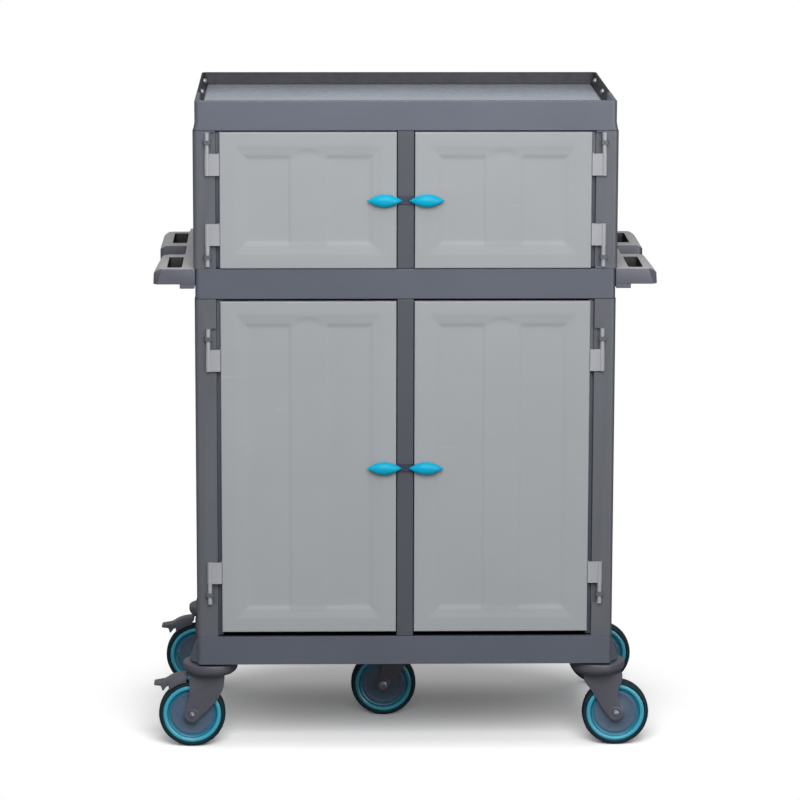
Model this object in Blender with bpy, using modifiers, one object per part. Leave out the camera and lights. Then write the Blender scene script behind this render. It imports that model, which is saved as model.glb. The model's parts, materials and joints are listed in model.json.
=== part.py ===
"""Housekeeping cart: two-tier plastic cabinet with four doors, end grab handles and five castors.

Metres, +Z up, the doors face -Y and the cart's length runs along X.
The origin is on the floor, below the middle of the cabinet body.
"""
import math

import bmesh
import bpy
from mathutils import Matrix, Vector

# Driving dimensions, in millimetres
MM = 0.001
GAP = 0.3
WELD = 0.01
QUARTER_TURN = math.radians(90)
FLAT_ANGLE, SMOOTH_ANGLE, BEVEL_ANGLE = math.radians(0.5), math.radians(35), math.radians(50)
HALF_W = {"base": 463.0, "lower": 463.5, "mid": 462.0, "upper": 465.5, "top": 461.0}
TOP_LIP_HALF_W, LIP_TUCK = 464.5, 1.0
HALF_D = 311.0
CORNER_R = 10.0
CORNER_STEPS = 4
WALL = 8.0
FRONT_WALL = 12.0
POST_EDGE_R = 1.5
SOFT_PLATE, SOFT_STILE, SOFT_DOOR, SOFT_KEEPER, SOFT_HANDLE, SOFT_PEDAL = 1.0, 1.5, 3.0, 0.8, 3.0, 1.5

BASE_LOW, BASE_FLOOR, BASE_TOP = 202.0, 210.0, 266.0
MID_LOW, MID_FLOOR, MID_TOP = 1029.5, 1037.5, 1096.5
TOP_LOW, TOP_LIP, TOP_SEAT, TOP_FRONT = 1401.0, 1424.0, 1427.7, 1466.5
DECK_LOW, DECK_LEDGE, DECK_TOP = 1428.0, 1435.7, 1437.5
DECK_HALF_W, DECK_BACK = 445.5, 296.5
DECK_INSET, DECK_SINK = 1.0, 2.0
GALLERY_LOW, GALLERY_TOP = 1436.0, 1465.0

POST_IN = 416.0
POST_BACK = -262.0
PANEL_OUT, PANEL_IN = 459.5, 453.5
REAR_POST_FRONT = 264.0
BACK_FRONT, BACK_BACK = 299.0, 305.0
STILE_HALF, STILE_BACK = 18.5, -283.0
SHELF_LOW, SHELF_TOP = 640.0, 652.0

GALLERY_TOP_T = 3.0
GALLERY_BASE_T = 13.0
GALLERY_FRONT = -268.0
GALLERY_OVERRUN, GALLERY_LEAN = 10.0, 5.0

DOOR_IN, DOOR_OUT = 20.0, 407.0
DOOR_FACE, DOOR_REAR = -316.0, -298.0
UPPER_LOW, UPPER_HIGH = 1098.0, 1399.2
LOWER_LOW, LOWER_HIGH = 278.0, 1026.8
FACET_BORDER, BORDER = 31.0, 50.0
FACET_DEEP, RELIEF_SHALLOW, RELIEF_DEEP = 2.0, 3.4, 6.0
RELIEF_SLOPE = 8.0
RELIEF_LEAD = 1.0
ARCH_HALF, ARCH_RISE, ARCH_STEPS = 41.0, 13.0, 12
BAND_IN, FIELD_INSET = 38.0, 2.0

PIN_X, PIN_Y = 434.0, -317.0
PIN_R, EYE_R, EYE_OUT = 4.8, 5.2, 8.0
EYE_HALF_H = 4.5
EYE_TRIM, EYE_SINK, EYE_CORNER_R = 1.0, 4.0, 3.0
EYE_FROM_LUG = 25.0
LUG_H, PIN_LEN = 48.0, 46.5
LUG_FRONT, LUG_BACK, LUG_EDGE = -319.0, -313.0, -315.5
LUG_OUT, LUG_TURN_IN = 439.0, 3.0
POCKET_OUT, POCKET_DEEP, POCKET_LEAD = 427.5, 8.0, 5.0
# Lowest and highest edge of each lug, and the way its pin runs
LUGS = {
    "ul_top": (1303.3, 1), "ul_low": (1149.0, -1),
    "ll_top": (869.3, 1), "ll_low": (389.2, -1),
}

KNOB_X = 46.5
KNOB_HALF_L, KNOB_HALF_H = 38.5, 14.5
KNOB_REAR, KNOB_SHOULDER, KNOB_FRONT = -316.3, -322.0, -336.0
KNOB_BASE_R, KNOB_BASE_FRONT = 12.0, -325.07
KNOB_TAPER = 1.7
KNOB_STEPS, KNOB_SIDES, KNOB_BASE_STEPS = 10, 12, 20
KNOB_Z = {"upper": 1248.5, "lower": 651.5}
KEEPER_HALF, KEEPER_RISE, KEEPER_HALF_H = 16.0, 2.5, 10.0

HANDLE_IN, HANDLE_RAIL, HANDLE_OUT = 462.3, 490.0, 555.0
HANDLE_LOW, HANDLE_TOP = 1062.5, 1096.5
HANDLE_EDGE_R, RAIL_R = 2.0, 8.0
STEP_LOW, STEP_OUT = 1052.5, 496.0
STEP_SINK, STEP_TUCK, STEP_INSET, STEP_CLEAR = 6.0, 1.0, 2.0, 4.0
GRIPS = ((-311.0, -95.0), (35.0, 262.0))
# The loops' front outer corner is cut off slantwise; the others are drawn in from the outer edge and rounded
NOSE_WIDE, NOSE_DEEP, NOSE_R = 13.0, 17.0, 6.0
FRONT_LOOP_REAR, REAR_LOOP_FRONT, REAR_LOOP_REAR = (16.0, 24.0), (3.5, 12.0), (11.0, 30.0)
# The outer edge falls away along a blunted quarter round
FALL_WIDE, FALL_HIGH, FALL_POWER, FALL_STEPS = 17.5, 14.5, 1.5, 4
HOLE_IN, HOLE_OUT, HOLE_R = 491.5, 524.0, 6.0
HOLES = ((-287.0, -135.0), (81.0, 234.0))

# Swivel pivots of the right-hand castors, as X and Y; the left-hand ones mirror them
CASTORS = {"f": (436.0, -249.0), "r": (438.0, 280.0)}
CASTOR_MID = 10.0
TRAIL = 41.6
WHEEL_R = 75.0
WHEEL_STEPS = 24
FORK_STEPS = 24
AXLE_STEPS = 12
FORK_HALF, FORK_INSIDE = 24.0, 19.5
FORK_ARCH = 156.0
AXLE_R, BORE_R = 5.0, 5.3
BRAKED = ("fl", "rl")
PEDAL_X, PEDAL_Z = 54.0, 160.0
PEDAL_HALF = 17.0

FOOT_PROFILE = ((0, 256), (24, 256), (31.8, 243), (36.6, 232), (42.8, 214), (45.6, 203), (46, 200), (0, 200))
CENTRE_FOOT = ((0, 206), (40, 206), (40, 200), (0, 200))
COVER_PROFILE = ((0, 199.7), (14, 199.7), (14, 197), (59.5, 197), (61.5, 194.5), (61.5, 184), (58.5, 176.5),
                 (52, 171), (38, 167), (24, 164.5), (0, 164.5))
TYRE_PROFILE = ((65.8, -15), (70.5, -16), (74, -12.5), (75, -8), (75, 8), (74, 12.5), (70.5, 16), (65.8, 15))
RIM_PROFILE = ((BORE_R, -17.5), (13, -17.5), (15, -11), (50, -11), (52, -14), (65.5, -13),
               (65.5, 13), (52, 14), (50, 11), (15, 11), (13, 17.5), (BORE_R, 17.5))
AXLE_PROFILE = ((0, -30), (8.2, -30), (9, -28.5), (9, -24.3), (AXLE_R, -24.3), (AXLE_R, 24.3), (9, 24.3),
                (9, 28.5), (8.2, 30), (0, 30))
FORK_OUTLINE = ((-31, 172), (-31, 150), (-24, 143), (-8.5, 121.5), (1, 106), (12, 86))
BRAKE_OUTLINE = ((-31, 172), (-31, 142), (-25, 129), (-15, 110), (-4, 98), (12, 82))
FORK_TRAILING = ((54, 90), (47.5, 106), (46.5, 122), (55.5, 152), (55.5, 172))
BRAKE_TRAILING = ((47, 124), (47, 172))
FORK_TIP_R = 17.0
FORK_TIP_TURN = range(200, 381, 30)
FORK_ROOM = (-40.0, 80.0)
PEDAL_OUTLINE = ((48.6, 168.5), (62, 167.5), (74, 165.5), (85, 162), (94, 157), (103, 151.8), (127, 147.5),
                 (127, 142.5), (112, 141), (107.5, 129.5), (104.5, 131.5), (98.5, 139.5), (90, 141.8),
                 (80, 146.5), (70, 150.5), (60, 152), (51, 158.5))

COLOURS = {
    "frame": ((0.125, 0.135, 0.165), 0.5),
    "frame_dark": ((0.07, 0.073, 0.09), 0.5),
    "deck": ((0.19, 0.2, 0.235), 0.48),
    "door": ((0.4, 0.42, 0.44), 0.42),
    "lug": ((0.46, 0.475, 0.495), 0.4),
    "turquoise": ((0.04, 0.5, 0.75), 0.32),
    "keeper": ((0.03, 0.06, 0.1), 0.45),
    "tyre": ((0.02, 0.05, 0.07), 0.6),
    "fork": ((0.1, 0.1, 0.115), 0.45),
    "zinc": ((0.55, 0.56, 0.58), 0.35),
    "handle": ((0.15, 0.155, 0.17), 0.5),
}


def clear_scene():
    for obj in list(bpy.data.objects):
        bpy.data.objects.remove(obj)


def collection(name):
    made = bpy.data.collections.new(name)
    bpy.context.scene.collection.children.link(made)
    return made


def material(name, finish):
    colour, roughness = COLOURS[finish]
    made = bpy.data.materials.new(name)
    made.use_nodes = True
    shader = made.node_tree.nodes["Principled BSDF"]
    shader.inputs["Base Color"].default_value = (*colour, 1.0)
    shader.inputs["Roughness"].default_value = roughness
    shader.inputs["Metallic"].default_value = 1.0 if finish == "zinc" else 0.0
    return made


def block(low, high):
    """Box between two corners, in millimetres."""
    body = bmesh.new()
    size = Vector(high) - Vector(low)
    middle = (Vector(high) + Vector(low)) / 2
    bmesh.ops.create_cube(body, size=1.0, matrix=Matrix.Translation(middle) @ Matrix.Diagonal(size.to_4d()))
    return body


def outline(loops, depth, low=0.0):
    """Prism of 2-D loops in the XY plane, the first outside and the rest holes, from low upwards."""
    curve = bpy.data.curves.new("outline", "CURVE")
    curve.dimensions = "2D"
    curve.fill_mode = "BOTH"
    curve.extrude = depth / 2
    for loop in loops:
        spline = curve.splines.new("POLY")
        spline.points.add(len(loop) - 1)
        for point, (x, y) in zip(spline.points, loop):
            point.co = (x, y, 0.0, 1.0)
        spline.use_cyclic_u = True
    pattern = bpy.data.objects.new("outline", curve)
    bpy.context.scene.collection.objects.link(pattern)
    graph = bpy.context.evaluated_depsgraph_get()
    mesh = bpy.data.meshes.new_from_object(pattern.evaluated_get(graph))
    bpy.data.objects.remove(pattern)
    bpy.data.curves.remove(curve)
    body = bmesh.new()
    body.from_mesh(mesh)
    bpy.data.meshes.remove(mesh)
    bmesh.ops.remove_doubles(body, verts=body.verts, dist=WELD)
    bmesh.ops.translate(body, vec=(0.0, 0.0, low + depth / 2), verts=body.verts)
    return body


def upright(body):
    """Turn an XY prism so that its Y runs up and its depth runs along -Y."""
    bmesh.ops.transform(body, matrix=Matrix.Rotation(QUARTER_TURN, 4, "X"), verts=body.verts)
    return body


def lathe(profile, steps, closed=False):
    """Round body about Z from (radius, height) pairs; a closed profile makes a ring."""
    body = bmesh.new()
    start = Matrix.Rotation(-QUARTER_TURN, 4, "Z")
    points = [body.verts.new(start @ Vector((r, 0.0, z))) for r, z in profile]
    pairs = list(zip(points, points[1:]))
    if closed:
        pairs.append((points[-1], points[0]))
    edges = [body.edges.new(pair) for pair in pairs]
    bmesh.ops.spin(body, geom=points + edges, cent=(0, 0, 0), axis=(0, 0, 1), angle=math.tau, steps=steps,
                   use_merge=True)
    bmesh.ops.remove_doubles(body, verts=body.verts, dist=WELD)
    return body


def sideways(body):
    """Lay a round body about Z down onto the Y axis, keeping its starting point at the bottom."""
    bmesh.ops.transform(body, matrix=Matrix.Rotation(QUARTER_TURN, 4, "X"), verts=body.verts)
    return body


def moved(body, x=0.0, y=0.0, z=0.0):
    bmesh.ops.translate(body, vec=(x, y, z), verts=body.verts)
    return body


def mirrored(body, side):
    if side < 0:
        bmesh.ops.scale(body, vec=(-1.0, 1.0, 1.0), verts=body.verts)
    return body


def together(*bodies):
    """One mesh with the separate islands of several."""
    joined = bmesh.new()
    for body in bodies:
        mesh = bpy.data.meshes.new("island")
        body.to_mesh(mesh)
        body.free()
        joined.from_mesh(mesh)
        bpy.data.meshes.remove(mesh)
    return joined


def rounded(corners):
    """2-D loop from (x, y, radius) corners, each rounded by an arc."""
    loop = []
    for index, (x, y, radius) in enumerate(corners):
        if radius == 0:
            loop.append((x, y))
            continue
        here = Vector((x, y))
        before = (Vector(corners[index - 1][:2]) - here).normalized()
        after = (Vector(corners[(index + 1) % len(corners)][:2]) - here).normalized()
        half = before.angle(after) / 2
        centre = here + (before + after).normalized() * radius / math.sin(half)
        first = here + before * radius / math.tan(half) - centre
        last = here + after * radius / math.tan(half) - centre
        turn = first.angle_signed(last)
        for step in range(CORNER_STEPS + 1):
            spoke = first.copy()
            spoke.rotate(Matrix.Rotation(-turn * step / CORNER_STEPS, 2))
            loop.append(tuple(centre + spoke))
    return loop


def rectangle(x0, x1, y0, y1, radius=0.0):
    return rounded([(x0, y0, radius), (x1, y0, radius), (x1, y1, radius), (x0, y1, radius)])


def circle(x, y, radius, steps):
    return [(x + radius * math.cos(math.tau * step / steps), y + radius * math.sin(math.tau * step / steps))
            for step in range(steps)]


def place(name, body, parts, finish, origin=(0.0, 0.0, 0.0), soften=0.0, smooth=False):
    """Finished object in metres whose origin is at the given point."""
    bmesh.ops.translate(body, vec=-Vector(origin), verts=body.verts)
    bmesh.ops.scale(body, vec=(MM, MM, MM), verts=body.verts)
    bmesh.ops.dissolve_limit(body, angle_limit=FLAT_ANGLE, verts=body.verts, edges=body.edges)
    bmesh.ops.recalc_face_normals(body, faces=body.faces)
    mesh = bpy.data.meshes.new(name)
    body.to_mesh(mesh)
    body.free()
    if smooth:
        mesh.shade_smooth()
        mesh.set_sharp_from_angle(angle=SMOOTH_ANGLE)
    obj = bpy.data.objects.new(name, mesh)
    obj.location = Vector(origin) * MM
    parts.objects.link(obj)
    if finish:
        mesh.materials.append(material(name, finish))
    if soften:
        edge = obj.modifiers.new("soft_edges", "BEVEL")
        edge.width = soften * MM
        edge.segments = 1
        edge.limit_method = "ANGLE"
        edge.angle_limit = BEVEL_ANGLE
        edge.harden_normals = False
    return obj


def tool(name, body, cutters):
    """Hidden object that a Boolean cuts or joins with."""
    obj = place(name, body, cutters, None)
    obj.hide_render = True
    obj.display_type = "WIRE"
    return obj


def boolean(obj, other, operation):
    made = obj.modifiers.new(operation.lower(), "BOOLEAN")
    made.object = other
    made.operation = operation
    made.solver = "EXACT"


def hollow(frame, name, wall, front_wall, low, high, cutters):
    """Cut the space inside a tray, which leaves a solid seat for each corner post."""
    x, y0, y1 = HALF_W[name] - wall, -HALF_D + front_wall, HALF_D - wall
    wide = block((-x, POST_BACK, low), (x, REAR_POST_FRONT, high))
    boolean(frame, tool(name + "_wide_well", wide, cutters), "DIFFERENCE")
    deep = block((-POST_IN, y0, low), (POST_IN, y1, high))
    boolean(frame, tool(name + "_deep_well", deep, cutters), "DIFFERENCE")


def make_base_frame(parts, cutters):
    plan = rectangle(-HALF_W["base"], HALF_W["base"], -HALF_D, HALF_D, CORNER_R)
    base = place("base_frame", outline([plan], BASE_TOP - BASE_LOW, BASE_LOW), parts, "frame")
    feet = [moved(lathe(FOOT_PROFILE, FORK_STEPS), side * x, y)
            for side in (-1, 1) for x, y in CASTORS.values()]
    feet.append(moved(lathe(CENTRE_FOOT, FORK_STEPS), 0.0, CASTOR_MID))
    boolean(base, tool("base_feet", together(*feet), cutters), "UNION")
    hollow(base, "base", WALL, FRONT_WALL, BASE_FLOOR, BASE_TOP + WALL, cutters)


def make_mid_frame(parts, cutters):
    plan = rectangle(-HALF_W["mid"], HALF_W["mid"], -HALF_D, HALF_D, CORNER_R)
    frame = place("mid_frame", outline([plan], MID_TOP - MID_LOW, MID_LOW), parts, "frame")
    hollow(frame, "mid", WALL, FRONT_WALL, MID_FLOOR, MID_TOP + WALL, cutters)


def make_top_frame(parts, cutters):
    """Ring whose front wall rises past the tray deck and whose other walls stop under the gallery."""
    plan = rectangle(-HALF_W["top"], HALF_W["top"], -HALF_D, HALF_D, CORNER_R)
    frame = place("top_frame", outline([plan], TOP_FRONT - TOP_LOW, TOP_LOW), parts, "frame")
    lip = rectangle(-TOP_LIP_HALF_W, TOP_LIP_HALF_W, -HALF_D, HALF_D, CORNER_R)
    flare = outline([lip], TOP_LIP - TOP_LOW, TOP_LOW)
    for vert in flare.verts:
        if vert.co.z > TOP_LOW:
            vert.co.x -= math.copysign(TOP_LIP_HALF_W - HALF_W["top"] + LIP_TUCK, vert.co.x)
    boolean(frame, tool("top_lip", flare, cutters), "UNION")
    hollow(frame, "top", FRONT_WALL, FRONT_WALL, TOP_LOW - WALL, TOP_FRONT + WALL, cutters)
    reach = HALF_D * 2
    above = block((-reach, -HALF_D + FRONT_WALL, TOP_SEAT), (reach, reach, TOP_FRONT + FRONT_WALL))
    boolean(frame, tool("top_above", above, cutters), "DIFFERENCE")


def make_tray(parts, cutters):
    front = -HALF_D + FRONT_WALL + GAP
    half = HALF_W["top"]
    plan = rectangle(-half + DECK_INSET, half - DECK_INSET, front, HALF_D - DECK_INSET)
    slab = outline([plan], DECK_LEDGE - DECK_LOW, DECK_LOW)
    deck = place("tray_deck", slab, parts, "deck", soften=SOFT_PLATE)
    field = block((-DECK_HALF_W, front + DECK_INSET, DECK_LOW + DECK_SINK),
                  (DECK_HALF_W, DECK_BACK, DECK_TOP))
    boolean(deck, tool("deck_field", field, cutters), "UNION")
    low, high = GALLERY_LOW, GALLERY_TOP
    outer = [(-half, GALLERY_FRONT, 0), (-half, HALF_D, CORNER_R), (half, HALF_D, CORNER_R),
             (half, GALLERY_FRONT, 0)]
    gallery = place("tray_gallery", outline([rounded(outer)], high - low, low), parts, "frame_dark")
    # The inside of the gallery flares from a thick foot up to a thin lip
    space = bmesh.new()
    reach = -HALF_D * 2
    for level, thick in ((low - GALLERY_OVERRUN, GALLERY_BASE_T + GALLERY_LEAN),
                         (high + GALLERY_OVERRUN, GALLERY_TOP_T - GALLERY_LEAN)):
        side, back = half - thick, HALF_D - thick
        ring = [space.verts.new((x, y, level)) for x, y in
                ((-side, reach), (side, reach), (side, back), (-side, back))]
        space.faces.new(ring)
    bmesh.ops.bridge_loops(space, edges=space.edges[:])
    boolean(gallery, tool("gallery_space", space, cutters), "DIFFERENCE")


def make_post(name, side, low, high, tiers, parts, cutters):
    """Front corner post with a pocket beside each hinge pin and an eyelet round it."""
    out = HALF_W[name.split("_")[1]]
    plan = rounded([(POST_IN, -HALF_D, POST_EDGE_R), (out, -HALF_D, CORNER_R), (out, POST_BACK, POST_EDGE_R),
                    (POST_IN, POST_BACK, POST_EDGE_R)])
    post = place(name, mirrored(outline([plan], high - low, low), side), parts, "frame")
    pockets = []
    eyelets = []
    for lug_low, way in tiers:
        edge = lug_low + LUG_H if way > 0 else lug_low
        ends = sorted((edge - way * LUG_H, edge + way * PIN_LEN))
        pockets.append(block((POST_IN - POCKET_LEAD, -HALF_D - POCKET_LEAD, ends[0]),
                             (POCKET_OUT, -HALF_D + POCKET_DEEP, ends[1])))
        ring = rectangle(PIN_X - EYE_OUT, PIN_X + EYE_OUT, PIN_Y - EYE_OUT + EYE_TRIM, -HALF_D + EYE_SINK,
                         EYE_CORNER_R)
        hole = circle(PIN_X, PIN_Y, EYE_R, AXLE_STEPS)
        middle = edge + way * EYE_FROM_LUG
        eyelets.append(outline([ring, hole], 2 * EYE_HALF_H, middle - EYE_HALF_H))
    boolean(post, tool(name + "_pockets", mirrored(together(*pockets), side), cutters), "DIFFERENCE")
    boolean(post, tool(name + "_eyelets", mirrored(together(*eyelets), side), cutters), "UNION")


def make_side(name, side, low, high, parts):
    """Recessed side panel in one piece with the rear corner post."""
    out = HALF_W[name.split("_")[1]]
    plan = rounded([(PANEL_IN, POST_BACK + GAP, 0), (PANEL_OUT, POST_BACK + GAP, 0),
                    (PANEL_OUT, REAR_POST_FRONT, 0), (out, REAR_POST_FRONT, POST_EDGE_R),
                    (out, HALF_D, CORNER_R), (POST_IN, HALF_D, POST_EDGE_R),
                    (POST_IN, REAR_POST_FRONT, POST_EDGE_R), (PANEL_IN, REAR_POST_FRONT, 0)])
    place(name, mirrored(outline([plan], high - low, low), side), parts, "frame")


def make_plates(parts):
    """Back panels, centre stiles, shelf and keepers."""
    for name, low, high in (("upper", MID_TOP + GAP, TOP_LOW - GAP),
                            ("lower", BASE_TOP + GAP, MID_LOW - GAP)):
        inside = POST_IN - GAP
        place("back_" + name, block((-inside, BACK_FRONT, low), (inside, BACK_BACK, high)), parts, "frame")
        stile = block((-STILE_HALF, -HALF_D, low), (STILE_HALF, STILE_BACK, high))
        place("stile_" + name, stile, parts, "frame", soften=SOFT_STILE)
        height = KNOB_Z[name]
        plate = block((-KEEPER_HALF, -HALF_D - GAP - KEEPER_RISE, height - KEEPER_HALF_H),
                      (KEEPER_HALF, -HALF_D - GAP, height + KEEPER_HALF_H))
        place("keeper_" + name, plate, parts, "keeper", soften=SOFT_KEEPER)
    ledge = rectangle(-PANEL_IN + GAP, PANEL_IN - GAP, POST_BACK + 2 * GAP, REAR_POST_FRONT - GAP)
    shelf = outline([ledge], SHELF_TOP - SHELF_LOW, SHELF_LOW)
    place("shelf_lower", shelf, parts, "deck", soften=SOFT_PLATE)


def arch(x0, x1, z0, z1):
    """Panel outline with a low arch in the middle of its top edge."""
    middle = (x0 + x1) / 2
    top = []
    for step in range(ARCH_STEPS + 1):
        along = 1 - 2 * step / ARCH_STEPS
        rise = ARCH_RISE * (1 + math.cos(math.pi * along)) / 2
        top.append((middle + ARCH_HALF * along, z1 + rise))
    return [(x0, z0), (x1, z0), (x1, z1)] + top + [(x0, z1)]


def sloped(loop, depth, slope):
    """Cutter for a recess: the loop at the door's face, drawn in by the slope at its floor."""
    body = upright(outline([loop], depth + RELIEF_LEAD))
    xs = [vert.co.x for vert in body.verts]
    zs = [vert.co.z for vert in body.verts]
    middle = Vector(((min(xs) + max(xs)) / 2, 0.0, (min(zs) + max(zs)) / 2))
    width, height = max(xs) - min(xs), max(zs) - min(zs)
    for vert in body.verts:
        inward = slope if vert.co.y < -depth else -slope * RELIEF_LEAD / depth
        vert.co.x = middle.x + (vert.co.x - middle.x) * (1 - 2 * inward / width)
        vert.co.z = middle.z + (vert.co.z - middle.z) * (1 - 2 * inward / height)
    bmesh.ops.scale(body, vec=(1.0, -1.0, 1.0), verts=body.verts)
    return moved(body, y=DOOR_FACE - RELIEF_LEAD)


def make_door(name, side, low, high, parts, cutters):
    """Slab with a soft front edge and an arch-topped recess, whose centre band is raised."""
    x0, x1 = sorted((side * DOOR_IN, side * DOOR_OUT))
    hinge = (side * PIN_X, PIN_Y, low)
    slab = block((x0, DOOR_FACE, low), (x1, DOOR_REAR, high))
    door = place(name, slab, parts, "door", origin=hinge, soften=SOFT_DOOR)
    facet = rectangle(x0 + FACET_BORDER, x1 - FACET_BORDER, low + FACET_BORDER, high - FACET_BORDER)
    facet = sloped(facet, FACET_DEEP, BORDER - FACET_BORDER)
    boolean(door, tool(name + "_facet", facet, cutters), "DIFFERENCE")
    inner = (x0 + BORDER, x1 - BORDER, low + BORDER, high - BORDER)
    panel = sloped(arch(*inner), RELIEF_SHALLOW, RELIEF_SLOPE)
    boolean(door, tool(name + "_panel", panel, cutters), "DIFFERENCE")
    middle = (x0 + x1) / 2
    sides = []
    for left, right in ((inner[0] + FIELD_INSET, middle - BAND_IN),
                        (middle + BAND_IN, inner[1] - FIELD_INSET)):
        field = rectangle(left, right, inner[2] + FIELD_INSET, inner[3] - FIELD_INSET)
        sides.append(sloped(field, RELIEF_DEEP, RELIEF_SLOPE))
    boolean(door, tool(name + "_fields", together(*sides), cutters), "DIFFERENCE")


def make_lug(name, side, low, way, parts, cutters, hinge):
    """Hinge lug: a plate before the post, turned in along the door's edge, with a pin beyond one end."""
    plan = [(DOOR_OUT + GAP, LUG_FRONT), (LUG_OUT, LUG_FRONT), (LUG_OUT, LUG_EDGE), (PIN_X, LUG_BACK),
            (DOOR_OUT + LUG_TURN_IN, LUG_BACK), (DOOR_OUT + LUG_TURN_IN, DOOR_REAR),
            (DOOR_OUT + GAP, DOOR_REAR)]
    lug = place(name, mirrored(outline([plan], LUG_H, low), side), parts, "lug", origin=hinge)
    ends = (low, low + LUG_H + PIN_LEN) if way > 0 else (low - PIN_LEN, low + LUG_H)
    pin = lathe(((0, ends[1]), (PIN_R, ends[1]), (PIN_R, ends[0]), (0, ends[0])), AXLE_STEPS)
    pin = mirrored(moved(pin, PIN_X, PIN_Y), side)
    boolean(lug, tool(name + "_pin", pin, cutters), "UNION")


def make_knob(name, side, height, parts, cutters):
    """Turn knob: a pointed oval grip, flattened front to back, on a round base."""
    pivot = (side * KNOB_X, KNOB_REAR, height)
    depth = KNOB_SHOULDER - KNOB_FRONT
    spindle = []
    for step in range(KNOB_STEPS + 1):
        along = 1 - 2 * step / KNOB_STEPS
        spindle.append((KNOB_HALF_H * (1 - abs(along) ** KNOB_TAPER), KNOB_HALF_L * along))
    grip = lathe(spindle, KNOB_SIDES)
    bmesh.ops.transform(grip, matrix=Matrix.Rotation(QUARTER_TURN, 4, "Y"), verts=grip.verts)
    bmesh.ops.scale(grip, vec=(1.0, depth / (2 * KNOB_HALF_H), 1.0), verts=grip.verts)
    moved(grip, side * KNOB_X, (KNOB_SHOULDER + KNOB_FRONT) / 2, height)
    knob = place(name, grip, parts, "turquoise", origin=pivot, smooth=True)
    front, rear = -KNOB_BASE_FRONT, -KNOB_REAR
    profile = ((0, front), (KNOB_BASE_R, front), (KNOB_BASE_R, rear), (0, rear))
    stem = sideways(lathe(profile, KNOB_BASE_STEPS))
    boolean(knob, tool(name + "_base", moved(stem, side * KNOB_X, 0.0, height), cutters), "UNION")


def make_handle(name, side, parts, cutters):
    """End moulding: two grab loops on one rail, with a lower step against the cart."""
    (front0, front1), (rear0, rear1) = GRIPS
    corners = [(HANDLE_OUT - inset, edge, radius) for edge, (inset, radius) in
               ((front1, FRONT_LOOP_REAR), (rear0, REAR_LOOP_FRONT), (rear1, REAR_LOOP_REAR))]
    plan = rounded([(HANDLE_IN, front0, HANDLE_EDGE_R), (HANDLE_OUT - NOSE_WIDE, front0, HANDLE_EDGE_R),
                    (HANDLE_OUT, front0 + NOSE_DEEP, NOSE_R), corners[0], (HANDLE_RAIL, front1, RAIL_R),
                    (HANDLE_RAIL, rear0, RAIL_R), *corners[1:], (HANDLE_RAIL, rear1, RAIL_R),
                    (HANDLE_RAIL, HALF_D, HANDLE_EDGE_R), (HANDLE_IN, HALF_D, HANDLE_EDGE_R)])
    holes = [rectangle(HOLE_IN, HOLE_OUT, start, end, HOLE_R) for start, end in HOLES]
    body = outline([plan] + holes, HANDLE_TOP - HANDLE_LOW, HANDLE_LOW)
    handle = place(name, mirrored(body, side), parts, "handle", soften=SOFT_HANDLE)
    lip, front, rear = HOLES[0][0] - STEP_INSET, front0 + STEP_INSET, HALF_D - STEP_INSET
    inner, rail = HANDLE_IN + STEP_TUCK, HOLE_IN - STEP_CLEAR
    ledge = [(inner, front), (STEP_OUT, front), (STEP_OUT, lip), (rail, lip), (rail, rear), (inner, rear)]
    step = outline([ledge], HANDLE_LOW + STEP_SINK - STEP_LOW, STEP_LOW)
    boolean(handle, tool(name + "_step", mirrored(step, side), cutters), "UNION")
    arc = [(HANDLE_OUT - FALL_WIDE * (1 - math.sin(turn) ** FALL_POWER),
            HANDLE_TOP - FALL_HIGH * (1 - math.cos(turn) ** FALL_POWER))
           for turn in (math.pi / 2 * step / FALL_STEPS for step in range(FALL_STEPS + 1))]
    beyond, above = HANDLE_OUT + FALL_WIDE, HANDLE_TOP + FALL_HIGH
    corner = [(beyond, arc[-1][1]), (beyond, above), (arc[0][0], above)]
    fall = upright(outline([arc + corner], 4 * HALF_D))
    fall = mirrored(moved(fall, y=2 * HALF_D), side)
    boolean(handle, tool(name + "_fall", fall, cutters), "DIFFERENCE")


def make_fork(name, pivot, trail, edges, parts, cutters):
    """Swivel fork: round cover, head and two legs that reach the axle."""
    tip = [(TRAIL + FORK_TIP_R * math.cos(math.radians(angle)),
            WHEEL_R + FORK_TIP_R * math.sin(math.radians(angle))) for angle in FORK_TIP_TURN]
    leading, trailing = edges
    plan = [*leading, *tip, *trailing]
    bore = circle(TRAIL, WHEEL_R, BORE_R, AXLE_STEPS)
    cheeks = mirrored(moved(upright(outline([plan, bore], 2 * FORK_HALF)), y=FORK_HALF), trail)
    fork = place(name, moved(cheeks, *pivot), parts, "fork", origin=(*pivot, 0.0), smooth=True)
    room = block((FORK_ROOM[0], -FORK_INSIDE, 0.0), (FORK_ROOM[1], FORK_INSIDE, FORK_ARCH))
    boolean(fork, tool(name + "_room", moved(mirrored(room, trail), *pivot), cutters), "DIFFERENCE")
    cover = moved(lathe(COVER_PROFILE, FORK_STEPS), *pivot)
    boolean(fork, tool(name + "_cover", cover, cutters), "UNION")


def make_castor(tag, x, y, trail, parts, cutters):
    edges = (BRAKE_OUTLINE, BRAKE_TRAILING) if tag in BRAKED else (FORK_OUTLINE, FORK_TRAILING)
    make_fork("fork_" + tag, (x, y), trail, edges, parts, cutters)
    hub = (x + trail * TRAIL, y, WHEEL_R)
    for kind, profile, steps, finish, ring in (
            ("rim", RIM_PROFILE, WHEEL_STEPS, "turquoise", True),
            ("tyre", TYRE_PROFILE, WHEEL_STEPS, "tyre", True),
            ("axle", AXLE_PROFILE, AXLE_STEPS, "zinc", False)):
        body = moved(sideways(lathe(profile, steps, ring)), *hub)
        place(kind + "_" + tag, body, parts, finish, origin=hub, smooth=True)


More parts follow.
